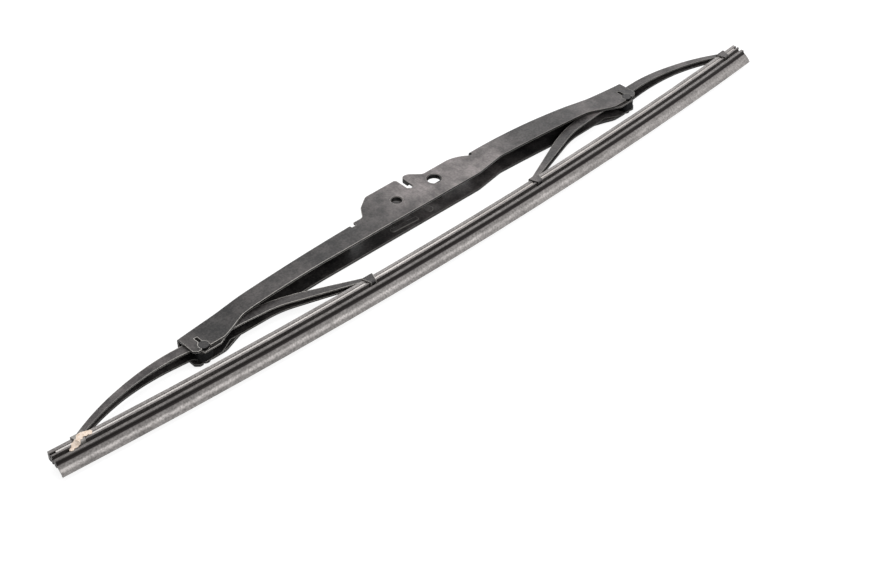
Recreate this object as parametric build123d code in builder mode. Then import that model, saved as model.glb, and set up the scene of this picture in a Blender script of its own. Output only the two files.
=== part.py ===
import math
import os

from build123d import *

# Wiper blade lying on its side. X runs along the blade, Y from the rubber towards the bridge and
# Z up from the table. Heights of the metal frame are given from a line just above the rubber's head
# at mid length. Millimetres.

# Rubber element
rubber_length = 399.0
rubber_bow = 8.2  # the free ends curl this far towards the bridge
head_drop = 0.4  # from the line of heights down to the head's top
head_half_width = 2.1
upper_flange = 1.75
slot_height = 0.8
core_half_width = 0.6
lower_flange = 0.85
neck_height = 1.1
neck_half_width = 0.5
shoulder_half_width = 1.7
shoulder_height = 2.1
shoulder_slope = 0.4
lip_root_half = 0.5
lip_length = 5.0
lip_tip_thickness = 0.7
lip_bend = 41.0  # degrees, towards the table
lip_bow = 0.35  # of the lip's faces, as the wiping edge curls under

# Backing strips
strip_thickness = 0.75
strip_end_gap = 2.5  # the strips stop short of the rubber's ends
strip_clearance = 0.05

# Bridge pressing
bridge_shift = 0.8  # the metal frame sits this far along +X of the rubber's middle
bridge_length = 260.2
bridge_sheet = 1.1
bridge_half_width = 5.1
ear_half_width = 4.2
taper_start = 33.0  # from the bridge's end, as the other places near the ears
taper_end = 20.0
taper_blend = 80.0
end_height = 22.7
bend_radius = 1.8
left_web_height = 28.8
left_web_rise = 1.1
right_web_height = 31.5
right_break = 37.0
right_break_height = 27.3
right_web_rise = 1.3
ear_bottom = 10.6
ear_inner = 15.0
finger_height = 12.2
finger_cut = 1.8
finger_blend = 0.8
wall_inner = 27.6
wall_bottom = 15.5
wall_rise = 0.4
left_bottom_x = 58.8
left_bottom = 17.7
step_low_x = 32.2
step_low = 17.0
step_high_x = 47.7
step_high = 19.4
lower_blend = 9.0
step_blend = 16.0

# Saddle for the wiper arm, cut into the middle of the bridge
saddle_left = -34.8
saddle_right = 39.2
relief_width = 2.6
relief_depth = 2.2
right_relief_depth = 2.7
ledge_height = 28.6
flank_foot_x = -27.0
flank_knee_x = -23.2
flank_knee_height = 34.2
saddle_top = 38.4
saddle_top_x = -17.0
flank_blend = 2.5
top_blend = 1.4
hook_slot_left = 0.8
hook_slot_width = 3.2
hook_slot_floor = 29.5
hook_crown = 38.2
hook_crown_x = 7.4
hook_root_x = 12.6
hook_tip_blend = 1.6
hook_crown_blend = 4.0
hook_root_blend = 3.0
hook_lip_foot = 34.0
hook_lip_depth = 1.4  # the hook's edge is turned inwards from each wall
rail_height = 33.4
rail_end_x = 27.2
rail_foot_x = 37.6
rail_bulge = 1.0

# Pin holes through both walls of the saddle
large_pin = 6.35
small_pin = 4.76
pin_clearance = 0.05
large_pin_x = 14.2
small_pin_x = -8.2
pin_height = 27.6
pin_rim = 0.4
collar_wall = 0.8
collar_depth = 1.4  # turned inwards from each wall

# Marks pressed into the lower wall, raised on its inner side
mark_height = 0.35
panel_length = 15.0
panel_width = 2.4
panel_x = -9.8
panel_height = 20.9
panel_turn = -4.0
dimple_diameter = 4.0
dimple_x = 5.3
dimple_height = 21.7

# Pivots of the yokes in the ends of the bridge
pivot_inset = 5.6  # from the bridge's end
pivot_height = 12.5
trunnion_diameter = 4.4
seat_clearance = 0.05
throat_width = 3.6
throat_drop = 1.3  # below the pivot's middle
mouth_width = 4.4
slit_width = 1.5
slit_top = 17.8

# Yoke pressings, with places along the arm given from the pivot
yoke_sheet = 0.7
yoke_side_gap = 0.25  # to the inside of the bridge's ears
inner_tip_half_width = 1.4
outer_tip_half_width = 1.5
waist_half_width = 1.8
inner_waist = -44.5
inner_full = -19.5
outer_full = 11.5
knee = -39.0
knee_height = 17.0
knee_blend = 70.0
crown = 15.5
crown_height = 19.4
outer_bow = 3.0
inner_tip_rise = 0.6
outer_tip_rise = 0.6
under_knee = -37.5
under_knee_height = 12.0
under_blend = 40.0
lug_start = -13.5
lug_start_height = 13.3
lug_inner = -6.5
lug_outer = 1.5
lug_end = 4.5
lug_end_height = 14.2
lug_bottom = 9.6
outer_under_bow = 4.0

# Claws
inner_arm = 75.1  # from the pivot to the inner claw
outer_claw_inset = 11.8  # from the rubber's end
claw_length = 5.4
claw_finger = 2.6
claw_clearance = 0.1
claw_round = 0.6
finger_gap = 0.3

# Pivot bushes
bush_clearance = 0.05
bush_length = 7.0
bush_bottom = 9.9
bush_top = 16.4
bush_round = 2.0

# Rubber section heights and the place of the whole blade
slot_top = -upper_flange
slot_bottom = slot_top - slot_height
flange_bottom = slot_bottom - lower_flange
shoulder_top = flange_bottom - neck_height
lip_top = shoulder_top - shoulder_height
lean = math.radians(lip_bend)
tip_x = -lip_length * math.sin(lean)
tip_y = lip_top - lip_length * math.cos(lean)
tip_side_x = lip_tip_thickness / 2 * math.cos(lean)
tip_side_y = lip_tip_thickness / 2 * math.sin(lean)
tip_far = (tip_x - tip_side_x, tip_y + tip_side_y)
tip_near = (tip_x + tip_side_x, tip_y - tip_side_y)
middle_height = (saddle_top - head_drop + tip_near[1]) / 2
bow_radius = ((rubber_length / 2) ** 2 + rubber_bow**2) / (2 * rubber_bow)
bow_angle = math.degrees(math.asin(rubber_length / 2 / bow_radius))
strip_angle = math.degrees(math.asin((rubber_length / 2 - strip_end_gap) / bow_radius))

# Side sketches lie parallel to the table in the blade's middle plane, plan sketches look along Y
rubber_side = Plane(origin=(0, -middle_height - head_drop, bridge_half_width))
frame_side = Plane(origin=(bridge_shift, -middle_height, bridge_half_width))
frame_plan = Plane(origin=frame_side.origin, x_dir=(1, 0, 0), z_dir=(0, -1, 0))
rubber_section = Plane(origin=rubber_side.origin, x_dir=(0, 0, 1), z_dir=(-1, 0, 0))
bow_axis = Axis(rubber_side.origin + Vector(0, bow_radius, 0), (0, 0, 1))
reach = bridge_length  # longer than any cut needs


def head_height(x):
    # Height of the bowed rubber's head at a place along the rubber
    return bow_radius - math.sqrt(bow_radius**2 - x**2)


def bowed_line(start, end, rise):
    # Arc whose middle stands above its chord by the rise
    middle = ((start[0] + end[0]) / 2, (start[1] + end[1]) / 2 + rise)
    return ThreePointArc(start, middle, end)


def corner(view, x, y):
    # The outline's corner nearest to a point
    return view.vertices().sort_by_distance((x, y))[0]


def lip_face(root, tip):
    # One face of the lip, bowed away from the table
    middle_x = (root[0] + tip[0]) / 2 + lip_bow * math.cos(lean)
    middle_y = (root[1] + tip[1]) / 2 - lip_bow * math.sin(lean)
    ThreePointArc(root, (middle_x, middle_y), tip)


# Rubber element: head with two flanges, neck, shoulder and a lip bent to one side
with BuildPart() as wiper_rubber:
    with BuildSketch(rubber_section):
        with BuildLine():
            Polyline(
                (lip_root_half, lip_top),
                (shoulder_half_width, lip_top + shoulder_slope),
                (shoulder_half_width, shoulder_top - shoulder_slope),
                (neck_half_width, shoulder_top),
                (neck_half_width, flange_bottom),
                (head_half_width, flange_bottom),
                (head_half_width, slot_bottom),
                (core_half_width, slot_bottom),
                (core_half_width, slot_top),
                (head_half_width, slot_top),
                (head_half_width, 0),
                (-head_half_width, 0),
                (-head_half_width, slot_top),
                (-core_half_width, slot_top),
                (-core_half_width, slot_bottom),
                (-head_half_width, slot_bottom),
                (-head_half_width, flange_bottom),
                (-neck_half_width, flange_bottom),
                (-neck_half_width, shoulder_top),
                (-shoulder_half_width, shoulder_top - shoulder_slope),
                (-shoulder_half_width, lip_top + shoulder_slope),
                (-lip_root_half, lip_top),
            )
            lip_face((-lip_root_half, lip_top), tip_far)
            Line(tip_far, tip_near)
            lip_face((lip_root_half, lip_top), tip_near)
        make_face()
    revolve(axis=bow_axis, revolution_arc=bow_angle)
    mirror(about=Plane.YZ)
wiper_rubber.part.label = "wiper_rubber"


# Backing strips: flat spring steel, one in each side slot of the rubber's head
def backing_strip(label, side):
    inner = core_half_width + strip_clearance
    width = head_half_width - inner
    with BuildPart() as strip:
        with BuildSketch(rubber_section):
            with Locations((side * (inner + width / 2), slot_top - slot_height / 2)):
                Rectangle(width, strip_thickness)
        revolve(axis=bow_axis, revolution_arc=strip_angle)
        mirror(about=Plane.YZ)
    strip.part.label = label
    return strip.part


near_strip = backing_strip("near_strip", 1)
far_strip = backing_strip("far_strip", -1)


# Bridge: the pressing's outer form, then the open channel inside it
bridge_half = bridge_length / 2
right_break_x = bridge_half - right_break
ear_inner_x = bridge_half - ear_inner
finger_x = bridge_half - finger_cut
wall_inner_x = bridge_half - wall_inner
pivot_x = bridge_half - pivot_inset


def bridge_plan(middle, ear):
    # Top view: full width in the middle, drawn in to the ears at both ends
    for side in (-1, 1):
        FilletPolyline(
            (-reach, side * ear),
            (taper_end - bridge_half, side * ear),
            (taper_start - bridge_half, side * middle),
            (bridge_half - taper_start, side * middle),
            (bridge_half - taper_end, side * ear),
            (reach, side * ear),
            radius=taper_blend,
        )
    Line((-reach, -ear), (-reach, ear))
    Line((reach, -ear), (reach, ear))


def left_web(drop):
    bowed_line((-bridge_half, end_height - drop), (saddle_left, left_web_height - drop), left_web_rise)


def right_web(drop):
    crest = (right_break_x, right_break_height - drop)
    crown = bowed_line((saddle_right, right_web_height - drop), crest, right_web_rise)
    TangentArc(crest, (bridge_half, end_height - drop), tangent=crown % 1)


def web_edges(view):
    # The long edges where the top web turns down into the side walls
    webs = [
        face
        for face in view.faces()
        if face.normal_at().Y > 0.8
        and not saddle_left < face.center().X - bridge_shift < saddle_right
    ]
    return [edge for face in webs for edge in face.edges() if abs(edge.tangent_at(0.5).X) > 0.9]


with BuildPart() as bridge_channel:
    with BuildSketch(frame_side):
        with BuildLine():
            left_web(bridge_sheet)
            right_web(bridge_sheet)
            Polyline(
                (saddle_left, left_web_height - bridge_sheet),
                (saddle_left, 2 * saddle_top),
                (saddle_right, 2 * saddle_top),
                (saddle_right, right_web_height - bridge_sheet),
            )
            Polyline(
                (bridge_half, end_height - bridge_sheet),
                (reach, end_height - bridge_sheet),
                (reach, -saddle_top),
                (-reach, -saddle_top),
                (-reach, end_height - bridge_sheet),
                (-bridge_half, end_height - bridge_sheet),
            )
        make_face()
    extrude(amount=bridge_half_width, both=True)
    with BuildSketch(frame_plan):
        with BuildLine():
            bridge_plan(bridge_half_width - bridge_sheet, ear_half_width - bridge_sheet)
        make_face()
    extrude(amount=reach, both=True, mode=Mode.INTERSECT)

hook_slot_right = hook_slot_left + hook_slot_width
hook_slot_middle = (hook_slot_left + hook_slot_right) / 2
hook_slot_foot = hook_slot_floor + hook_slot_width / 2
relief_floor = right_web_height - right_relief_depth

with BuildPart() as bridge:
    with BuildSketch(frame_side) as side_view:
        with BuildLine():
            left_web(0)
            Polyline(
                (saddle_left, left_web_height),
                (saddle_left, left_web_height - relief_depth),
                (saddle_left + relief_width, left_web_height - relief_depth),
                (saddle_left + relief_width, ledge_height),
                (flank_foot_x, ledge_height),
                (flank_knee_x, flank_knee_height),
                (saddle_top_x, saddle_top),
                (hook_slot_left, saddle_top),
                (hook_slot_left, hook_slot_foot),
            )
            ThreePointArc(
                (hook_slot_left, hook_slot_foot),
                (hook_slot_middle, hook_slot_floor),
                (hook_slot_right, hook_slot_foot),
            )
            Polyline(
                (hook_slot_right, hook_slot_foot),
                (hook_slot_right, hook_crown),
                (hook_crown_x, hook_crown),
                (hook_root_x, rail_height),
                (rail_end_x, rail_height),
            )
            bowed_line((rail_end_x, rail_height), (rail_foot_x, relief_floor), rail_bulge)
            Polyline(
                (rail_foot_x, relief_floor),
                (saddle_right, relief_floor),
                (saddle_right, right_web_height),
            )
            right_web(0)
            Polyline(
                (bridge_half, end_height),
                (bridge_half, finger_height),
                (finger_x, ear_bottom),
                (ear_inner_x, ear_bottom),
                (wall_inner_x, wall_bottom),
            )
            bowed_line((wall_inner_x, wall_bottom), (step_high_x, step_high), wall_rise)
            Polyline((step_high_x, step_high), (step_low_x, step_low), (-left_bottom_x, left_bottom))
            bowed_line((-left_bottom_x, left_bottom), (-wall_inner_x, wall_bottom), wall_rise)
            Polyline(
                (-wall_inner_x, wall_bottom),
                (-ear_inner_x, ear_bottom),
                (-finger_x, ear_bottom),
                (-bridge_half, finger_height),
                (-bridge_half, end_height),
            )
        make_face()
        for side in (-1, 1):
            fillet(corner(side_view, side * ear_inner_x, ear_bottom), lower_blend)
            fillet(corner(side_view, side * wall_inner_x, wall_bottom), lower_blend)
            fillet(corner(side_view, side * bridge_half, finger_height), finger_blend)
        fillet(corner(side_view, step_high_x, step_high), step_blend)
        fillet(corner(side_view, step_low_x, step_low), step_blend)
        fillet(corner(side_view, flank_foot_x, ledge_height), flank_blend)
        fillet(corner(side_view, saddle_top_x, saddle_top), flank_blend)
        fillet(corner(side_view, hook_slot_left, saddle_top), top_blend)
        fillet(corner(side_view, hook_slot_right, hook_crown), hook_tip_blend)
        fillet(corner(side_view, hook_crown_x, hook_crown), hook_crown_blend)
        fillet(corner(side_view, hook_root_x, rail_height), hook_root_blend)
    extrude(amount=bridge_half_width, both=True)
    with BuildSketch(frame_plan):
        with BuildLine():
            bridge_plan(bridge_half_width, ear_half_width)
        make_face()
    extrude(amount=reach, both=True, mode=Mode.INTERSECT)
    fillet(web_edges(bridge), bend_radius)
    add(bridge_channel.part, mode=Mode.SUBTRACT)

    # The hook's edge, turned inwards on both walls
    with BuildSketch(frame_side) as hook_lip:
        with BuildLine():
            Polyline(
                (hook_slot_right, hook_slot_foot),
                (hook_slot_right, hook_crown),
                (hook_crown_x, hook_crown),
                (hook_root_x, rail_height),
                (hook_root_x, hook_slot_foot),
                close=True,
            )
        make_face()
        fillet(corner(hook_lip, hook_slot_right, hook_crown), hook_tip_blend)
        fillet(corner(hook_lip, hook_crown_x, hook_crown), hook_crown_blend)
        offset(amount=-bridge_sheet, mode=Mode.SUBTRACT)
        with Locations((0, hook_lip_foot)):
            Rectangle(reach, saddle_top, align=(Align.CENTER, Align.MIN), mode=Mode.INTERSECT)
        with Locations((hook_root_x, 0)):
            Rectangle(reach, reach, align=(Align.MAX, Align.CENTER), mode=Mode.INTERSECT)
    extrude(amount=bridge_half_width - bridge_sheet, both=True)
    hook_gap = bridge_half_width - bridge_sheet - hook_lip_depth
    extrude(hook_lip.sketch, amount=hook_gap, both=True, mode=Mode.SUBTRACT)

    # Pin holes for the wiper arm, each with an eased rim and a collar turned inwards
    for pin_x, pin in ((large_pin_x, large_pin), (small_pin_x, small_pin)):
        pin_place = Pos(pin_x, pin_height)
        hole = pin / 2 + pin_clearance
        with BuildSketch(frame_side * pin_place):
            Circle(hole + collar_wall)
        extrude(amount=bridge_half_width - bridge_sheet, both=True)
        with BuildSketch(frame_side * pin_place):
            Circle(hole + collar_wall)
        extrude(amount=bridge_half_width - bridge_sheet - collar_depth, both=True, mode=Mode.SUBTRACT)
        with BuildSketch(frame_side * pin_place):
            Circle(hole)
        extrude(amount=bridge_half_width, both=True, mode=Mode.SUBTRACT)
        rounds = bridge.edges(Select.LAST).filter_by(GeomType.CIRCLE).sort_by(Axis.Z)
        chamfer([rounds[0], rounds[-1]], pin_rim)

    # Oblong panel and round dimple pressed into the lower wall
    with BuildSketch(frame_side.offset(-bridge_half_width)) as marks:
        with Locations((panel_x, panel_height)):
            SlotOverall(panel_length, panel_width, rotation=panel_turn)
        with Locations((dimple_x, dimple_height)):
            Circle(dimple_diameter / 2)
    extrude(amount=bridge_sheet + mark_height)
    extrude(marks.sketch, amount=mark_height, mode=Mode.SUBTRACT)

    # Snap seats of the pivots: round seat, throat to the lower edge and a slit that lets the finger give
    with BuildSketch(frame_side):
        with Locations((-pivot_x, pivot_height), (pivot_x, pivot_height)):
            Circle(trunnion_diameter / 2 + seat_clearance)
        with Locations((-pivot_x, pivot_height), (pivot_x, pivot_height)):
            Polygon(
                (-throat_width / 2, 0),
                (-throat_width / 2, -throat_drop),
                (-mouth_width / 2, ear_bottom - pivot_height),
                (-mouth_width / 2, -pivot_height),
                (mouth_width / 2, -pivot_height),
                (mouth_width / 2, ear_bottom - pivot_height),
                (throat_width / 2, -throat_drop),
                (throat_width / 2, 0),
                align=None,
            )
        with Locations((-pivot_x, pivot_height), (pivot_x, pivot_height)):
            Rectangle(slit_width, slit_top - pivot_height, align=(Align.CENTER, Align.MIN))
    extrude(amount=reach, both=True, mode=Mode.SUBTRACT)
bridge.part.label = "bridge"


# Yokes: a tapered channel that rocks in the bridge's end, with a claw at each tip
yoke_half_width = ear_half_width - bridge_sheet - yoke_side_gap
inner_claw_x = pivot_x - inner_arm
outer_claw_x = rubber_length / 2 - outer_claw_inset


def yoke_plan(side, inset):
    # Top view of the arm, from the inner claw to the outer claw
    outer_full_x = pivot_x + outer_full
    stations = [
        (inner_claw_x, inner_tip_half_width),
        (pivot_x + inner_waist, waist_half_width),
        (pivot_x + inner_full, yoke_half_width),
        (outer_full_x, yoke_half_width),
        ((outer_full_x + outer_claw_x) / 2, waist_half_width),
        (outer_claw_x, outer_tip_half_width),
    ]
    edge = [(side * x, half - inset) for x, half in stations]
    Polyline(edge + [(x, -half) for x, half in reversed(edge)], close=True)


claw_cavity = head_half_width + claw_clearance
claw_half_width = claw_cavity + yoke_sheet
claw_top = claw_clearance + yoke_sheet
finger_top = flange_bottom - claw_clearance
finger_bottom = finger_top - yoke_sheet
finger_tip = neck_half_width + finger_gap


def claw(x):
    # Sheet wrapped round the head, drawn in to narrow fingers that turn under the lower flange
    along = x + bridge_shift
    slope = math.asin(along / bow_radius)
    tangent = Vector(math.cos(slope), math.sin(slope), 0)
    middle = rubber_side.origin + Vector(along, head_height(along), 0)
    across = Plane(origin=middle, x_dir=(0, 0, 1), z_dir=-tangent)
    lengthwise = Plane(origin=middle, x_dir=tangent, z_dir=(0, 0, 1))
    with BuildPart() as clip:
        with BuildSketch(across) as section:
            with BuildLine():
                Polyline(
                    (finger_tip, finger_bottom),
                    (claw_half_width, finger_bottom),
                    (claw_half_width, claw_top),
                    (-claw_half_width, claw_top),
                    (-claw_half_width, finger_bottom),
                    (-finger_tip, finger_bottom),
                    (-finger_tip, finger_top),
                    (-claw_cavity, finger_top),
                    (-claw_cavity, claw_clearance),
                    (claw_cavity, claw_clearance),
                    (claw_cavity, finger_top),
                    (finger_tip, finger_top),
                    close=True,
                )
            make_face()
            for edge in (-claw_half_width, claw_half_width):
                fillet(corner(section, edge, claw_top), claw_round)
                fillet(corner(section, edge, finger_bottom), claw_round)
        extrude(amount=claw_length / 2, both=True)
        with BuildSketch(lengthwise):
            Polygon(
                (-claw_length / 2, claw_top),
                (-claw_length / 2, 0),
                (-claw_finger / 2, finger_bottom),
                (claw_finger / 2, finger_bottom),
                (claw_length / 2, 0),
                (claw_length / 2, claw_top),
                align=None,
            )
        extrude(amount=claw_half_width, both=True, mode=Mode.INTERSECT)
    return clip.part


def yoke(label, side):
    def at(x, y):
        return (side * x, y)

    def by_pivot(along, y):
        return at(pivot_x + along, y)

    inner_seat = head_height(side * inner_claw_x + bridge_shift) - head_drop + claw_clearance
    outer_seat = head_height(side * outer_claw_x + bridge_shift) - head_drop + claw_clearance
    inner_edge = inner_claw_x + claw_length / 2
    outer_edge = outer_claw_x - claw_length / 2

    def arm_top(drop):
        FilletPolyline(
            at(inner_claw_x, inner_seat + yoke_sheet + inner_tip_rise - drop),
            by_pivot(knee, knee_height - drop),
            by_pivot(crown, crown_height - drop),
            radius=knee_blend,
        )
        bowed_line(
            by_pivot(crown, crown_height - drop),
            at(outer_claw_x, outer_seat + yoke_sheet + outer_tip_rise - drop),
            outer_bow,
        )

    with BuildPart() as arm_channel:
        with BuildSketch(frame_side):
            with BuildLine():
                arm_top(yoke_sheet)
                Polyline(
                    at(outer_claw_x, outer_seat + outer_tip_rise),
                    at(outer_claw_x, -saddle_top),
                    at(inner_claw_x, -saddle_top),
                    at(inner_claw_x, inner_seat + inner_tip_rise),
                )
            make_face()
        extrude(amount=bridge_half_width, both=True)
        with BuildSketch(frame_plan):
            with BuildLine():
                yoke_plan(side, yoke_sheet)
            make_face()
        extrude(amount=reach, both=True, mode=Mode.INTERSECT)

    with BuildPart() as lever:
        with BuildSketch(frame_side):
            with BuildLine():
                arm_top(0)
                Polyline(
                    at(outer_claw_x, outer_seat + yoke_sheet + outer_tip_rise),
                    at(outer_claw_x, outer_seat),
                    at(outer_edge, outer_seat),
                )
                bowed_line(at(outer_edge, outer_seat), by_pivot(lug_end, lug_end_height), outer_under_bow)
                Polyline(
                    by_pivot(lug_end, lug_end_height),
                    by_pivot(lug_outer, lug_bottom),
                    by_pivot(lug_inner, lug_bottom),
                    by_pivot(lug_start, lug_start_height),
                )
                FilletPolyline(
                    by_pivot(lug_start, lug_start_height),
                    by_pivot(under_knee, under_knee_height),
                    at(inner_edge, inner_seat),
                    radius=under_blend,
                )
                Polyline(
                    at(inner_edge, inner_seat),
                    at(inner_claw_x, inner_seat),
                    at(inner_claw_x, inner_seat + yoke_sheet + inner_tip_rise),
                )
            make_face()
        extrude(amount=bridge_half_width, both=True)
        with BuildSketch(frame_plan):
            with BuildLine():
                yoke_plan(side, 0)
            make_face()
        extrude(amount=reach, both=True, mode=Mode.INTERSECT)
        add(arm_channel.part, mode=Mode.SUBTRACT)
        add(claw(side * inner_claw_x))
        add(claw(side * outer_claw_x))
        with BuildSketch(frame_side):
            with Locations(at(pivot_x, pivot_height)):
                Circle(trunnion_diameter / 2 + bush_clearance)
        extrude(amount=reach, both=True, mode=Mode.SUBTRACT)
    lever.part.label = label
    return lever.part


left_yoke = yoke("left_yoke", -1)
right_yoke = yoke("right_yoke", 1)


# Pivot bushes: a block inside the yoke's channel with a trunnion out to each ear of the bridge
def pivot_bush(label, side):
    with BuildPart() as bush:
        with BuildSketch(frame_side):
            with Locations((side * pivot_x, (bush_bottom + bush_top) / 2)):
                RectangleRounded(bush_length, bush_top - bush_bottom, bush_round)
        extrude(amount=yoke_half_width - yoke_sheet - bush_clearance, both=True)
        with BuildSketch(frame_side):
            with Locations((side * pivot_x, pivot_height)):
                Circle(trunnion_diameter / 2)
        extrude(amount=ear_half_width, both=True)
    bush.part.label = label
    return bush.part


left_pivot_bush = pivot_bush("left_pivot_bush", -1)
right_pivot_bush = pivot_bush("right_pivot_bush", 1)

pieces = [
    bridge.part,
    left_yoke,
    right_yoke,
    left_pivot_bush,
    right_pivot_bush,
    wiper_rubber.part,
    near_strip,
    far_strip,
]
os.makedirs("parts", exist_ok=True)
for piece in pieces:
    export_step(piece, f"parts/{piece.label}.step")
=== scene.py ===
import math

import bmesh
import bpy
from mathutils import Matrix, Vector, noise
from mathutils.bvhtree import BVHTree


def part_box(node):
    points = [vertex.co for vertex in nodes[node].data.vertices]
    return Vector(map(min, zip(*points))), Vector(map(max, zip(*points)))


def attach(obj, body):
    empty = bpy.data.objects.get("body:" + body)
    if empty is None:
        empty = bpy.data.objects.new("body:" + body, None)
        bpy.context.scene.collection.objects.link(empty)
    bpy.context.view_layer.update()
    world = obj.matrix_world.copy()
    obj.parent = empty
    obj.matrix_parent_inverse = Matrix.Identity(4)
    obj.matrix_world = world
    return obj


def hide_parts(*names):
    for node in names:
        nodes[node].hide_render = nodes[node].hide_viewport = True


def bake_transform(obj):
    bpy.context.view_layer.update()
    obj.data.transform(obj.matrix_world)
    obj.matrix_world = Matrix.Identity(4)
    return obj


# Wiper blade lying on its side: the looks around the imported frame, in metres
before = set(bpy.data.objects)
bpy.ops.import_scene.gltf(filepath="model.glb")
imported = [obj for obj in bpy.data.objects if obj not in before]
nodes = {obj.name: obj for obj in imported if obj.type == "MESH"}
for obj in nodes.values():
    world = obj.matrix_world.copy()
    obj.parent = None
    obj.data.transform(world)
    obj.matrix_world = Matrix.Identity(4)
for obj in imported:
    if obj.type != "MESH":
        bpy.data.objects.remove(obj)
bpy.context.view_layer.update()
mm = 0.001
print("frame loaded:", ", ".join(sorted(nodes)))

noiseLow = 0.3  # a noise texture's values lie mostly between these two
noiseHigh = 0.7
steepUp = 0.1  # upward part of a face's normal: none of the film on what faces up lies up to here, and all of it from levelUp on
levelUp = 0.95


def linearColour(hexText):
    # sRGB hex to the linear values that sockets take
    parts = [int(hexText[i:i + 2], 16) / 255 for i in (1, 3, 5)]
    return [p / 12.92 if p <= 0.04045 else ((p + 0.055) / 1.055) ** 2.4 for p in parts] + [1.0]


def perMetre(sizeMm):
    # texture scale whose features are about this many millimetres across
    return 1 / (sizeMm * mm)


def rampStops(table, fromMm, toMm):
    # shares by place in millimetres, as stops from 0 to 1
    return [((placeMm - fromMm) / (toMm - fromMm), share) for placeMm, share in table]


def addNode(tree, kind, inputs=None, stops=(), **settings):
    # one node with its settings, its fixed inputs and its links, and on a ramp its grey stops
    # on a colour Mix, input 0 is the share, 6 and 7 are the two colours, and output 2 is the mix
    node = tree.nodes.new(kind)
    for name, value in settings.items():
        setattr(node, name, value)
    for key, value in (inputs or {}).items():
        if isinstance(value, bpy.types.NodeSocket):
            tree.links.new(value, node.inputs[key])
        else:
            node.inputs[key].default_value = value
    for i in range(2, len(stops)):  # a new ramp has two
        node.color_ramp.elements.new(1.0)
    for i, (position, grey) in enumerate(stops):
        node.color_ramp.elements[i].position = position
        node.color_ramp.elements[i].color = (grey, grey, grey, 1.0)
    return node


def newMaterial(name):
    # a material and its empty node tree
    material = bpy.data.materials.new(name)
    material.use_nodes = True
    material.node_tree.nodes.clear()
    return material, material.node_tree


# Black electro-coat on pressed steel: thin satin paint with fine pale scuffs, a film of dust on what
# faces up that also paints in the paint's sheen, painted shade low down near the table, and pale edges,
# bare metal with a painted glint, most of all on the left half
coat = {
    "paint": "#151516",
    "scuffed": "#3b3938",
    "dust": "#8f8887",
    # pale edges: bare metal, painted light enough to stand in for a glint as well
    "bareEdgeAndGlint": "#dad6d0",
    # cap of the film on what faces up, which paints in sheen as well as dust
    "dustShare": 0.76,
    # share of that film by place along the blade, millimetres, as dust and painted sheen: least on the
    # left, most on the saddle
    "dustAndSheenByPlace": (
        (-200.0, 0.7), (-140.0, 0.4), (-116.0, 0.06), (-84.0, 0.22), (-43.0, 0.14), (-19.0, 0.26),
        (4.0, 1.0), (44.0, 0.9), (56.0, 0.45), (68.0, 0.08), (92.0, 0.2), (110.0, 0.5), (126.0, 0.15),
        (200.0, 0.48),
    ),
    # share of edge that is pale by place along the blade: bare metal and a painted glint, most on the
    # left half
    "wearAndGlintByPlace": (
        (-200.0, 0.3), (-165.0, 0.3), (-135.0, 1.0), (-60.0, 1.0), (30.0, 0.4), (200.0, 0.4),
    ),
    "halfLengthMm": 200.0,
    "shadeDeepestToMm": 3.0,  # above the table: painted shade, deepest up to here and gone from the next height on
    "shadeGoneFromMm": 6.5,
    "deepShadeShare": 0.4,  # of the film and pale edges that is left in the deepest painted shade
    "clawFromMm": -187.0,  # along the blade: the left end claw is rubbed up to here, not past clawToMm
    "clawToMm": -183.0,
    "clawShare": 0.45,  # of its paint that is gone
    "blotchMm": 9.0,
    "peelMm": 1.0,  # orange peel and dust grain, drawn coarser than the real ones so that they show
    "peelDeepMm": 0.05,
    "scuffMm": 2.2,
    "scuffDraw": 0.18,  # scale across the blade, where the scuffs are drawn out
    "edgeMm": 0.55,
    "roughness": 0.46,
    "specular": 0.22,
}


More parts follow.
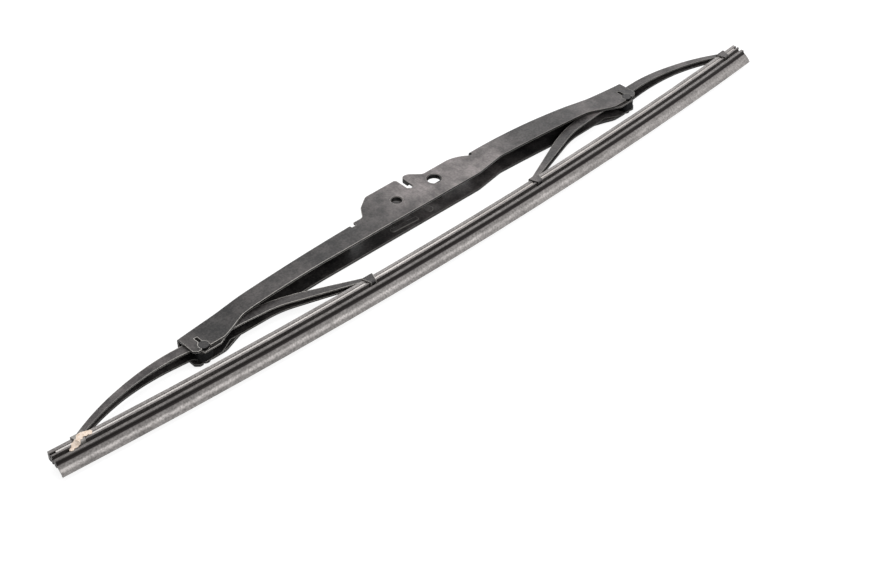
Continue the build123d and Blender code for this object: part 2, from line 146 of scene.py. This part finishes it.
def paintedSteel():
    material, tree = newMaterial("blackElectroCoat")
    place = addNode(tree, "ShaderNodeTexCoord").outputs["Object"]
    along = addNode(tree, "ShaderNodeSeparateXYZ", {"Vector": place})
    surface = addNode(tree, "ShaderNodeNewGeometry")
    blotch = addNode(tree, "ShaderNodeTexNoise", {
        "Vector": place, "Scale": perMetre(coat["blotchMm"]), "Detail": 6.0, "Roughness": 0.62})
    peel = addNode(tree, "ShaderNodeTexNoise", {
        "Vector": place, "Scale": perMetre(coat["peelMm"]), "Detail": 2.0})
    drawn = addNode(tree, "ShaderNodeMapping", {
        "Vector": place, "Scale": (1.0, coat["scuffDraw"], 1.0)})
    scuff = addNode(tree, "ShaderNodeTexNoise", {
        "Vector": drawn.outputs["Vector"], "Scale": perMetre(coat["scuffMm"]),
        "Detail": 5.0, "Roughness": 0.7})
    half = coat["halfLengthMm"]
    lengthwise = addNode(tree, "ShaderNodeMapRange", {
        "Value": along.outputs["X"], "From Min": -half * mm, "From Max": half * mm})
    # dust and painted sheen: the film's share by place along the blade
    dustAndSheenAlong = addNode(
        tree, "ShaderNodeValToRGB", {"Fac": lengthwise.outputs["Result"]},
        rampStops(coat["dustAndSheenByPlace"], -half, half))
    wearAndGlintAlong = addNode(
        tree, "ShaderNodeValToRGB", {"Fac": lengthwise.outputs["Result"]},
        rampStops(coat["wearAndGlintByPlace"], -half, half))
    # painted shade: less film and fewer pale edges low down, near the table and inside the far wall
    paintedShadeByHeight = addNode(tree, "ShaderNodeMapRange", {
        "Value": along.outputs["Z"],
        "From Min": coat["shadeDeepestToMm"] * mm, "From Max": coat["shadeGoneFromMm"] * mm,
        "To Min": coat["deepShadeShare"]})

    # paint with its scuffs
    mottle = addNode(tree, "ShaderNodeMath", {
        0: peel.outputs["Fac"], 1: blotch.outputs["Fac"]}, operation="ADD")
    scraped = addNode(tree, "ShaderNodeMapRange", {
        "Value": mottle.outputs["Value"], "From Min": 0.85, "From Max": 1.25})
    scratched = addNode(tree, "ShaderNodeMix", {
        0: scraped.outputs["Result"], 6: linearColour(coat["paint"]), 7: linearColour(coat["scuffed"])},
        data_type="RGBA")

    # dust in patches, wiped streaks and grains, on what faces up, where the film also paints in the
    # paint's sheen
    up = addNode(tree, "ShaderNodeSeparateXYZ", {"Vector": surface.outputs["Normal"]})
    paleOnTop = addNode(tree, "ShaderNodeMapRange", {
        "Value": up.outputs["Z"], "From Min": steepUp, "From Max": levelUp, "To Max": coat["dustShare"]})
    patchy = addNode(tree, "ShaderNodeMapRange", {
        "Value": blotch.outputs["Fac"], "From Min": 0.38, "From Max": 0.64,
        "To Min": 0.4, "To Max": 1.2})
    wiped = addNode(tree, "ShaderNodeMapRange", {
        "Value": scuff.outputs["Fac"], "From Min": 0.38, "From Max": 0.62,
        "To Min": 0.8, "To Max": 1.2})
    grainy = addNode(tree, "ShaderNodeMapRange", {
        "Value": peel.outputs["Fac"], "From Min": noiseLow, "From Max": noiseHigh,
        "To Min": 0.8, "To Max": 1.2})
    filmShare = dustAndSheenAlong.outputs["Color"]
    # the film thinned low down is painted shade
    for part in (paleOnTop, paintedShadeByHeight, patchy, wiped, grainy):
        film = addNode(tree, "ShaderNodeMath", {
            0: filmShare, 1: part.outputs["Result"]}, operation="MULTIPLY")
        filmShare = film.outputs["Value"]
    painted = addNode(tree, "ShaderNodeMix", {
        0: filmShare, 6: scratched.outputs[2], 7: linearColour(coat["dust"])}, data_type="RGBA")

    # edges pale, as bare metal and a painted glint, and the left end claw rubbed bare
    rounded = addNode(tree, "ShaderNodeBevel", {"Radius": coat["edgeMm"] * mm}, samples=8)
    facing = addNode(tree, "ShaderNodeVectorMath", {
        0: rounded.outputs["Normal"], 1: surface.outputs["Normal"]}, operation="DOT_PRODUCT")
    edge = addNode(tree, "ShaderNodeMapRange", {
        "Value": facing.outputs["Value"], "From Min": 0.99, "From Max": 0.92})
    broken = addNode(tree, "ShaderNodeMapRange", {
        "Value": scuff.outputs["Fac"], "From Min": 0.3, "From Max": 0.5, "To Min": 0.45})
    wearAndGlintEdge = wearAndGlintAlong.outputs["Color"]
    # pale edges thinned low down: painted shade too
    for part in (edge, broken, paintedShadeByHeight):
        edgePart = addNode(tree, "ShaderNodeMath", {
            0: wearAndGlintEdge, 1: part.outputs["Result"]}, operation="MULTIPLY")
        wearAndGlintEdge = edgePart.outputs["Value"]
    gripped = addNode(tree, "ShaderNodeMapRange", {
        "Value": along.outputs["X"],
        "From Min": coat["clawFromMm"] * mm, "From Max": coat["clawToMm"] * mm,
        "To Min": coat["clawShare"], "To Max": 0.0})
    rubbedClaw = addNode(tree, "ShaderNodeMath", {
        0: gripped.outputs["Result"], 1: broken.outputs["Result"]}, operation="MULTIPLY")
    paleMark = addNode(tree, "ShaderNodeMath", {
        0: wearAndGlintEdge, 1: rubbedClaw.outputs["Value"]}, operation="MAXIMUM")
    colour = addNode(tree, "ShaderNodeMix", {
        0: paleMark.outputs["Value"], 6: painted.outputs[2], 7: linearColour(coat["bareEdgeAndGlint"])},
        data_type="RGBA")

    gloss = addNode(tree, "ShaderNodeMapRange", {
        "Value": scuff.outputs["Fac"], "From Min": noiseLow, "From Max": noiseHigh,
        "To Min": coat["roughness"] - 0.06, "To Max": coat["roughness"] + 0.08})
    bump = addNode(tree, "ShaderNodeBump", {
        "Height": peel.outputs["Fac"], "Strength": 0.12, "Distance": coat["peelDeepMm"] * mm,
        "Normal": rounded.outputs["Normal"]})
    shader = addNode(tree, "ShaderNodeBsdfPrincipled", {
        "Base Color": colour.outputs[2], "Roughness": gloss.outputs["Result"], "IOR": 1.52,
        "Specular IOR Level": coat["specular"], "Normal": bump.outputs["Normal"]})
    addNode(tree, "ShaderNodeOutputMaterial", {"Surface": shader.outputs["BSDF"]})
    return material


# Rolled stainless spring steel: fine rolling lines along the strip, a painted highlight that is
# brightest at the left end and fades to the right, and stains at random
strip = {
    # the steel with its painted highlight; the darker colour is the steel without it, and its stains
    "steel": "#b8b4b1",
    "darkSteel": "#74706d",
    "lineMm": 0.35,  # rolling lines, drawn coarser than the real ones so that they show
    "lineDraw": 0.02,  # scale along the strip, where the lines are drawn out
    "lineDeepMm": 0.02,
    "stainMm": 14.0,
    "glintFullToMm": -190.0,  # along the blade: full painted highlight up to here, none from the next place on
    "glintGoneFromMm": 40.0,
    "roughness": 0.3,
}


def springSteel():
    material, tree = newMaterial("rolledSpringSteel")
    place = addNode(tree, "ShaderNodeTexCoord").outputs["Object"]
    drawn = addNode(tree, "ShaderNodeMapping", {
        "Vector": place, "Scale": (strip["lineDraw"], 1.0, 1.0)})
    lines = addNode(tree, "ShaderNodeTexNoise", {
        "Vector": drawn.outputs["Vector"], "Scale": perMetre(strip["lineMm"]), "Detail": 3.0})
    stain = addNode(tree, "ShaderNodeTexNoise", {
        "Vector": place, "Scale": perMetre(strip["stainMm"]), "Detail": 4.0})
    along = addNode(tree, "ShaderNodeSeparateXYZ", {"Vector": place})
    # painted highlight, fading from the left end to the right; stains darken it at random
    glintFade = addNode(tree, "ShaderNodeMapRange", {
        "Value": along.outputs["X"],
        "From Min": strip["glintFullToMm"] * mm, "From Max": strip["glintGoneFromMm"] * mm})
    stained = addNode(tree, "ShaderNodeMapRange", {
        "Value": stain.outputs["Fac"], "From Min": noiseLow, "From Max": noiseHigh,
        "To Min": -0.15, "To Max": 0.15})
    glintFadeAndStain = addNode(tree, "ShaderNodeMath", {
        0: glintFade.outputs["Result"], 1: stained.outputs["Result"]}, operation="ADD", use_clamp=True)
    colour = addNode(tree, "ShaderNodeMix", {
        0: glintFadeAndStain.outputs["Value"], 6: linearColour(strip["steel"]), 7: linearColour(strip["darkSteel"])},
        data_type="RGBA")
    gloss = addNode(tree, "ShaderNodeMapRange", {
        "Value": lines.outputs["Fac"], "From Min": noiseLow, "From Max": noiseHigh,
        "To Min": strip["roughness"] - 0.05, "To Max": strip["roughness"] + 0.1})
    bump = addNode(tree, "ShaderNodeBump", {
        "Height": lines.outputs["Fac"], "Strength": 0.1, "Distance": strip["lineDeepMm"] * mm})
    shader = addNode(tree, "ShaderNodeBsdfPrincipled", {
        "Base Color": colour.outputs[2], "Metallic": 1.0, "Roughness": gloss.outputs["Result"],
        "Normal": bump.outputs["Normal"]})
    addNode(tree, "ShaderNodeOutputMaterial", {"Surface": shader.outputs["BSDF"]})
    return material


# Extruded black rubber: matt, with a grey chalky bloom, mottled and grainy; the slot, the neck and the
# groove under the shoulder are painted dark as shade, and a paler band along the lip is a painted
# highlight
bloomAndPaintedLight = {
    "rubber": "#1d1817",
    "chalk": "#e9e3e0",
    # share of bloom by depth below the head's top, millimetres; the low shares in the slot, the neck and
    # the groove under the shoulder are painted shade
    "bloomAndShadeByDepth": (
        (0.0, 0.33), (1.3, 0.31), (1.5, 0.045), (2.0, 0.045), (2.5, 0.3), (3.2, 0.25), (3.38, 0.09),
        (4.6, 0.09), (5.0, 0.18), (5.8, 0.21), (6.2, 0.12), (6.35, 0.0), (7.0, 0.0), (7.4, 0.3),
        (8.6, 0.35), (10.6, 0.42),
    ),
    # a painted highlight: a paler band along the middle of the lip, by the same depth
    "highlightByDepth": ((8.3, 0.0), (8.9, 1.0), (9.2, 1.0), (9.8, 0.0)),
    "depthMm": 11.0,
    "highlightShare": 0.5,  # of bloom that the painted highlight adds, and what is left of it at its far end
    "highlightEndShare": 0.05,
    "highlightFullToMm": -180.0,  # along the blade: the full painted highlight up to here, fading up to the next place
    "highlightFadedAtMm": 190.0,
    "streakMm": 5.0,
    "streakDraw": 0.45,  # scale along the blade, where the streaks are drawn out
    "speckMm": 0.8,  # chalk grains, drawn coarser than the real ones so that they show
    "speckDeepMm": 0.05,
    "roughness": 0.42,
    "specular": 0.14,
}


def bladeRubber():
    material, tree = newMaterial("bloomedRubberPaintedLight")
    place = addNode(tree, "ShaderNodeTexCoord").outputs["Object"]
    drawn = addNode(tree, "ShaderNodeMapping", {
        "Vector": place, "Scale": (bloomAndPaintedLight["streakDraw"], 1.0, 1.0)})
    streak = addNode(tree, "ShaderNodeTexNoise", {
        "Vector": drawn.outputs["Vector"], "Scale": perMetre(bloomAndPaintedLight["streakMm"]),
        "Detail": 6.0, "Roughness": 0.65})
    speck = addNode(tree, "ShaderNodeTexNoise", {
        "Vector": place, "Scale": perMetre(bloomAndPaintedLight["speckMm"]), "Detail": 3.0})
    depth = addNode(tree, "ShaderNodeAttribute", attribute_name="depthMm")
    level = addNode(tree, "ShaderNodeMapRange", {
        "Value": depth.outputs["Fac"], "From Max": bloomAndPaintedLight["depthMm"]})
    bloomAndShade = addNode(
        tree, "ShaderNodeValToRGB", {"Fac": level.outputs["Result"]},
        rampStops(bloomAndPaintedLight["bloomAndShadeByDepth"], 0.0, bloomAndPaintedLight["depthMm"]))
    highlightBand = addNode(
        tree, "ShaderNodeValToRGB", {"Fac": level.outputs["Result"]},
        rampStops(bloomAndPaintedLight["highlightByDepth"], 0.0, bloomAndPaintedLight["depthMm"]))
    along = addNode(tree, "ShaderNodeSeparateXYZ", {"Vector": place})
    highlightFade = addNode(tree, "ShaderNodeMapRange", {
        "Value": along.outputs["X"],
        "From Min": bloomAndPaintedLight["highlightFullToMm"] * mm, "From Max": bloomAndPaintedLight["highlightFadedAtMm"] * mm,
        "To Min": bloomAndPaintedLight["highlightShare"], "To Max": bloomAndPaintedLight["highlightEndShare"]})
    # the painted highlight's share along the lip
    paleMark = addNode(tree, "ShaderNodeMath", {
        0: highlightBand.outputs["Color"], 1: highlightFade.outputs["Result"]}, operation="MULTIPLY")
    bloomShadeAndHighlight = addNode(tree, "ShaderNodeMath", {
        0: bloomAndShade.outputs["Color"], 1: paleMark.outputs["Value"]}, operation="ADD")
    patchy = addNode(tree, "ShaderNodeMapRange", {
        "Value": streak.outputs["Fac"], "From Min": 0.25, "From Max": 0.75,
        "To Min": 0.62, "To Max": 1.36})
    grainy = addNode(tree, "ShaderNodeMapRange", {
        "Value": speck.outputs["Fac"], "From Min": noiseLow, "From Max": noiseHigh,
        "To Min": 0.66, "To Max": 1.38})
    mottled = addNode(tree, "ShaderNodeMath", {
        0: patchy.outputs["Result"], 1: grainy.outputs["Result"]}, operation="MULTIPLY")
    share = addNode(tree, "ShaderNodeMath", {
        0: bloomShadeAndHighlight.outputs["Value"], 1: mottled.outputs["Value"]}, operation="MULTIPLY", use_clamp=True)
    colour = addNode(tree, "ShaderNodeMix", {
        0: share.outputs["Value"], 6: linearColour(bloomAndPaintedLight["rubber"]), 7: linearColour(bloomAndPaintedLight["chalk"])},
        data_type="RGBA")
    bump = addNode(tree, "ShaderNodeBump", {
        "Height": speck.outputs["Fac"], "Strength": 0.15, "Distance": bloomAndPaintedLight["speckDeepMm"] * mm})
    shader = addNode(tree, "ShaderNodeBsdfPrincipled", {
        "Base Color": colour.outputs[2], "Roughness": bloomAndPaintedLight["roughness"], "IOR": 1.5,
        "Specular IOR Level": bloomAndPaintedLight["specular"], "Normal": bump.outputs["Normal"]})
    addNode(tree, "ShaderNodeOutputMaterial", {"Surface": shader.outputs["BSDF"]})
    return material


# Moulded black acetal: slightly waxy, with faint mould texture and a film of dust on what faces up
acetal = {
    "resin": "#0f0f10",
    "dust": "#898787",
    "dustShare": 0.3,
    "grainMm": 0.5,  # mould texture, drawn coarser than the real one so that it shows
    "grainDeepMm": 0.03,
    "roughness": 0.6,
    "specular": 0.1,
}


def mouldedAcetal():
    material, tree = newMaterial("mouldedAcetal")
    place = addNode(tree, "ShaderNodeTexCoord").outputs["Object"]
    grain = addNode(tree, "ShaderNodeTexNoise", {
        "Vector": place, "Scale": perMetre(acetal["grainMm"]), "Detail": 3.0})
    surface = addNode(tree, "ShaderNodeNewGeometry")
    up = addNode(tree, "ShaderNodeSeparateXYZ", {"Vector": surface.outputs["Normal"]})
    paleOnTop = addNode(tree, "ShaderNodeMapRange", {
        "Value": up.outputs["Z"], "From Min": steepUp, "From Max": levelUp,
        "To Max": acetal["dustShare"]})
    grainy = addNode(tree, "ShaderNodeMapRange", {
        "Value": grain.outputs["Fac"], "From Min": noiseLow, "From Max": noiseHigh,
        "To Min": 0.5, "To Max": 1.2})
    filmShare = addNode(tree, "ShaderNodeMath", {
        0: paleOnTop.outputs["Result"], 1: grainy.outputs["Result"]}, operation="MULTIPLY")
    colour = addNode(tree, "ShaderNodeMix", {
        0: filmShare.outputs["Value"], 6: linearColour(acetal["resin"]), 7: linearColour(acetal["dust"])},
        data_type="RGBA")
    bump = addNode(tree, "ShaderNodeBump", {
        "Height": grain.outputs["Fac"], "Strength": 0.1, "Distance": acetal["grainDeepMm"] * mm})
    shader = addNode(tree, "ShaderNodeBsdfPrincipled", {
        "Base Color": colour.outputs[2], "Roughness": acetal["roughness"], "IOR": 1.48,
        "Specular IOR Level": acetal["specular"], "Normal": bump.outputs["Normal"]})
    addNode(tree, "ShaderNodeOutputMaterial", {"Surface": shader.outputs["BSDF"]})
    return material


# Dried glue: a beige, matt, crusty smear with browner patches
glue = {
    "beige": "#fbeadb",
    "brown": "#dcc2a8",
    "crustMm": 0.9,
    "crustDeepMm": 0.15,
    "roughness": 0.75,
    "specular": 0.3,
}


def driedGlue():
    material, tree = newMaterial("driedGlue")
    place = addNode(tree, "ShaderNodeTexCoord").outputs["Object"]
    crust = addNode(tree, "ShaderNodeTexNoise", {
        "Vector": place, "Scale": perMetre(glue["crustMm"]), "Detail": 5.0, "Roughness": 0.7})
    patchy = addNode(tree, "ShaderNodeMapRange", {
        "Value": crust.outputs["Fac"], "From Min": 0.45, "From Max": 0.7})
    colour = addNode(tree, "ShaderNodeMix", {
        0: patchy.outputs["Result"], 6: linearColour(glue["beige"]), 7: linearColour(glue["brown"])},
        data_type="RGBA")
    bump = addNode(tree, "ShaderNodeBump", {
        "Height": crust.outputs["Fac"], "Strength": 0.5, "Distance": glue["crustDeepMm"] * mm})
    shader = addNode(tree, "ShaderNodeBsdfPrincipled", {
        "Base Color": colour.outputs[2], "Roughness": glue["roughness"],
        "Specular IOR Level": glue["specular"], "Normal": bump.outputs["Normal"]})
    addNode(tree, "ShaderNodeOutputMaterial", {"Surface": shader.outputs["BSDF"]})
    return material


paint = paintedSteel()
steel = springSteel()
rubber = bladeRubber()
plastic = mouldedAcetal()
finishes = {
    "bridge": paint,
    "left_yoke": paint,
    "right_yoke": paint,
    "left_pivot_bush": plastic,
    "right_pivot_bush": plastic,
}
for name, finish in finishes.items():
    nodes[name].data.materials.clear()
    nodes[name].data.materials.append(finish)
print("finishes made")


def newPiece(name, bm, material):
    # an object at the origin, with its place in its mesh
    mesh = bpy.data.meshes.new(name)
    bm.to_mesh(mesh)
    bm.free()
    mesh.materials.append(material)
    piece = bpy.data.objects.new(name, mesh)
    bpy.context.scene.collection.objects.link(piece)
    return piece


# The rubber and its strips bend between the bridge and the yokes, so each is two halves that meet at
# mid length
flex = {
    "stationMm": 6.0,  # about how far apart the cross cuts are
    "heldFromMm": 47.0,  # from mid length
    "mergeMm": 0.001,
    "onCutMm": 0.0001,  # points this near to a cut lie on it
    "smoothDeg": 25.0,
}


def flexibleHalf(nodeName, side, material):
    # the node's own form on one side of mid length, cut across at even stations so that it can bend
    bm = bmesh.new()
    bm.from_mesh(nodes[nodeName].data)
    bmesh.ops.remove_doubles(bm, verts=bm.verts, dist=flex["mergeMm"] * mm)
    everything = bm.verts[:] + bm.edges[:] + bm.faces[:]
    cut = bmesh.ops.bisect_plane(
        bm, geom=everything, dist=flex["onCutMm"] * mm,
        plane_co=(0, 0, 0), plane_no=(-side, 0, 0), clear_outer=True)
    rim = [part for part in cut["geom_cut"] if isinstance(part, bmesh.types.BMEdge)]
    bmesh.ops.edgeloop_fill(bm, edges=rim)
    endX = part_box(nodeName)[1].x
    count = int(endX / (flex["stationMm"] * mm))
    for i in range(1, count):
        everything = bm.verts[:] + bm.edges[:] + bm.faces[:]
        bmesh.ops.bisect_plane(
            bm, geom=everything, dist=flex["onCutMm"] * mm,
            plane_co=(side * endX * i / count, 0, 0), plane_no=(1, 0, 0))
    for face in bm.faces:
        face.smooth = True
    smoothTo = math.radians(flex["smoothDeg"])
    for edge in bm.edges:
        edge.smooth = len(edge.link_faces) == 2 and edge.calc_face_angle(0) < smoothTo
    sideName = "left" if side < 0 else "right"
    piece = newPiece(f"{nodeName}_{sideName}", bm, material)
    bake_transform(piece)
    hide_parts(nodeName)
    return piece


# The top of the rubber's head lies on an arc, which curves towards the bridge at both ends
head = {
    "topMm": -14.098,  # across the blade, at mid length
    "bowMm": 8.2,  # how much nearer to the bridge the ends are
    "halfLengthMm": 199.5,
}


def markDepth(piece):
    # each point's depth below the head's top, for the bloom, the painted shade in the grooves and the
    # painted highlight on the lip
    radius = (head["halfLengthMm"] ** 2 + head["bowMm"] ** 2) / (2 * head["bowMm"])
    middle = head["topMm"] + radius
    depth = piece.data.attributes.new("depthMm", "FLOAT", "POINT")
    for i, vertex in enumerate(piece.data.vertices):
        depth.data[i].value = math.hypot(vertex.co.x / mm, vertex.co.y / mm - middle) - radius


for side, bodyName in ((-1, "left_yoke"), (1, "right_yoke")):
    half = flexibleHalf("wiper_rubber", side, rubber)
    markDepth(half)
    for stripName in ("near_strip", "far_strip"):
        half = flexibleHalf(stripName, side, steel)


# A smear of dried glue over the left end claw, from the rubber's neck up to the foot of the arm
smear = {
    "fromMm": (-192.9, -11.3),
    "toMm": (-181.6, -8.0),
    "halfWidthMm": 1.25,
    "bowMm": 0.5,
    "ragMm": 0.9,  # how far its edges wander in and out
    "rags": 10.0,  # how often, over the whole length
    "ragsApart": 0.5,  # each edge reads the noise this far from the middle, so it wanders by itself
    "endShare": 0.35,  # of the width that is left at the two ends
    "endPower": 6,  # how late it narrows to them
    "lowestMm": 4.5,  # above the table: it doesn't run down past here
    "thickMm": 0.25,
    "along": 26,  # cells along it and across it
    "across": 8,
    "bridgings": 30,  # rounds of smoothing that span the grooves
    "bridgingShare": 0.5,
    "dropMm": 30.0,  # above the table: it is laid down from here
}


def glueSmear():
    # a ragged streak laid down from above on the claw, the strip and the rubber
    below = bmesh.new()
    for name in ("left_yoke", "wiper_rubber", "near_strip"):
        below.from_mesh(nodes[name].data)
    carrier = BVHTree.FromBMesh(below)
    below.free()
    start, end = Vector(smear["fromMm"]), Vector(smear["toMm"])
    run = end - start
    aside = Vector((-run.y, run.x)).normalized()
    bm = bmesh.new()
    bmesh.ops.create_grid(bm, x_segments=smear["along"], y_segments=smear["across"], size=1.0)
    for vertex in bm.verts:
        share, off = (vertex.co.x + 1) / 2, vertex.co.y
        edgeNoise = (share * smear["rags"], math.copysign(smear["ragsApart"], off), 0.0)
        rag = smear["ragMm"] * noise.noise(edgeNoise)
        taper = 1 - (1 - smear["endShare"]) * abs(2 * share - 1) ** smear["endPower"]
        bow = smear["bowMm"] * math.sin(math.pi * share)
        spot = start + run * share + aside * (off * taper * (smear["halfWidthMm"] + rag) + bow)
        vertex.co = Vector((spot.x, spot.y, smear["dropMm"])) * mm
    missed = []
    for vertex in bm.verts:
        hit = carrier.ray_cast(vertex.co, Vector((0, 0, -1)))[0]
        if hit and hit.z > smear["lowestMm"] * mm:
            vertex.co = hit
        else:
            missed.append(vertex)
    bmesh.ops.delete(bm, geom=missed, context="VERTS")
    ground = {vertex: vertex.co.z for vertex in bm.verts}
    for i in range(smear["bridgings"]):  # the glue spans the grooves instead of filling them
        bmesh.ops.smooth_vert(bm, verts=bm.verts, factor=smear["bridgingShare"], use_axis_z=True)
        for vertex in bm.verts:
            vertex.co.z = max(vertex.co.z, ground[vertex])
    crust = bmesh.ops.extrude_face_region(bm, geom=bm.faces[:])
    raised = [part for part in crust["geom"] if isinstance(part, bmesh.types.BMVert)]
    bmesh.ops.translate(bm, verts=raised, vec=(0, 0, smear["thickMm"] * mm))
    bmesh.ops.recalc_face_normals(bm, faces=bm.faces)
    piece = newPiece("dried_glue", bm, driedGlue())
    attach(piece, "left_yoke")


glueSmear()
print("glue laid on the left end claw")


# White table and soft studio light
studio = {
    "table": "#8c8c8c",
    "tableHalfM": 4.0,
    "tableGlow": 0.88,  # brings the table, as it is seen, up to white
    "ambient": 0.3,  # light from all around
}
white = (1.0, 1.0, 1.0, 1.0)


def seenRay(tree):
    # 1 for rays that see the white studio itself, 0 for the light that it sheds
    path = addNode(tree, "ShaderNodeLightPath")
    mirrored = addNode(tree, "ShaderNodeMath", {
        0: path.outputs["Is Glossy Ray"], 1: path.outputs["Is Transmission Ray"]}, operation="MAXIMUM")
    seen = addNode(tree, "ShaderNodeMath", {
        0: path.outputs["Is Camera Ray"], 1: mirrored.outputs["Value"]}, operation="MAXIMUM")
    return seen.outputs["Value"]


def studioTable():
    bm = bmesh.new()
    bmesh.ops.create_grid(bm, x_segments=1, y_segments=1, size=studio["tableHalfM"])
    material, tree = newMaterial("whiteTable")
    glow = addNode(tree, "ShaderNodeMath", {
        0: seenRay(tree), 1: studio["tableGlow"]}, operation="MULTIPLY")
    shader = addNode(tree, "ShaderNodeBsdfPrincipled", {
        "Base Color": linearColour(studio["table"]), "Roughness": 0.9, "Specular IOR Level": 0.0,
        "Emission Color": white, "Emission Strength": glow.outputs["Value"]})
    addNode(tree, "ShaderNodeOutputMaterial", {"Surface": shader.outputs["BSDF"]})
    table = newPiece("table", bm, material)


def studioWorld():
    world = bpy.data.worlds.new("studioWorld")
    bpy.context.scene.world = world
    world.use_nodes = True
    tree = world.node_tree
    tree.nodes.clear()
    strength = addNode(tree, "ShaderNodeMapRange", {
        "Value": seenRay(tree), "To Min": studio["ambient"]})
    background = addNode(tree, "ShaderNodeBackground", {
        "Color": white, "Strength": strength.outputs["Result"]})
    addNode(tree, "ShaderNodeOutputWorld", {"Surface": background.outputs["Background"]})


# Three soft boxes: where each hangs and aims, and its size, in metres
lamps = {
    "overheadSoftbox": {
        "at": (0.12, 0.18, 0.95), "aim": (0.02, 0.0, 0.0), "size": (0.9, 0.6), "watts": 5.5},
    "backSoftbox": {
        "at": (0.85, 0.7, 0.75), "aim": (0.08, 0.0, 0.0), "size": (0.7, 0.5), "watts": 4.0},
    "frontSoftbox": {
        "at": (0.36, -0.52, 0.57), "aim": (-0.1, 0.0, 0.0), "size": (0.4, 0.22), "watts": 2.0},
}


def softLamps():
    for name, lamp in lamps.items():
        light = bpy.data.lights.new(name, "AREA")
        light.shape = "RECTANGLE"
        light.size, light.size_y = lamp["size"]
        light.energy = lamp["watts"]
        holder = bpy.data.objects.new(name, light)
        holder.location = lamp["at"]
        beam = Vector(lamp["aim"]) - Vector(lamp["at"])
        holder.rotation_euler = beam.to_track_quat("-Z", "Y").to_euler()
        bpy.context.scene.collection.objects.link(holder)


# Camera at the photograph's angle
photoView = {
    "aimMm": (-31.16, -36.793, 5.1),
    "distanceMm": 671.32,  # from that point
    "headingDeg": 46.773,  # of the line of sight, from +X towards +Y
    "downDeg": 41.446,
    "focalPx": 1625.9,  # focal length in pixels of a picture that is widthPx wide
    "widthPx": 873,
    "sensorMm": 36.0,
}


def photoCamera():
    heading = math.radians(photoView["headingDeg"])
    down = math.radians(photoView["downDeg"])
    level = math.cos(down)
    sight = Vector((level * math.cos(heading), level * math.sin(heading), -math.sin(down)))
    data = bpy.data.cameras.new("photoCamera")
    data.sensor_width = photoView["sensorMm"]
    data.lens = photoView["focalPx"] / photoView["widthPx"] * photoView["sensorMm"]
    camera = bpy.data.objects.new("photoCamera", data)
    camera.location = Vector(photoView["aimMm"]) * mm - sight * photoView["distanceMm"] * mm
    camera.rotation_euler = sight.to_track_quat("-Z", "Y").to_euler()
    bpy.context.scene.collection.objects.link(camera)
    bpy.context.scene.camera = camera


studioTable()
studioWorld()
softLamps()
photoCamera()
bpy.context.scene.view_settings.view_transform = "Standard"
print("table, light and camera set")
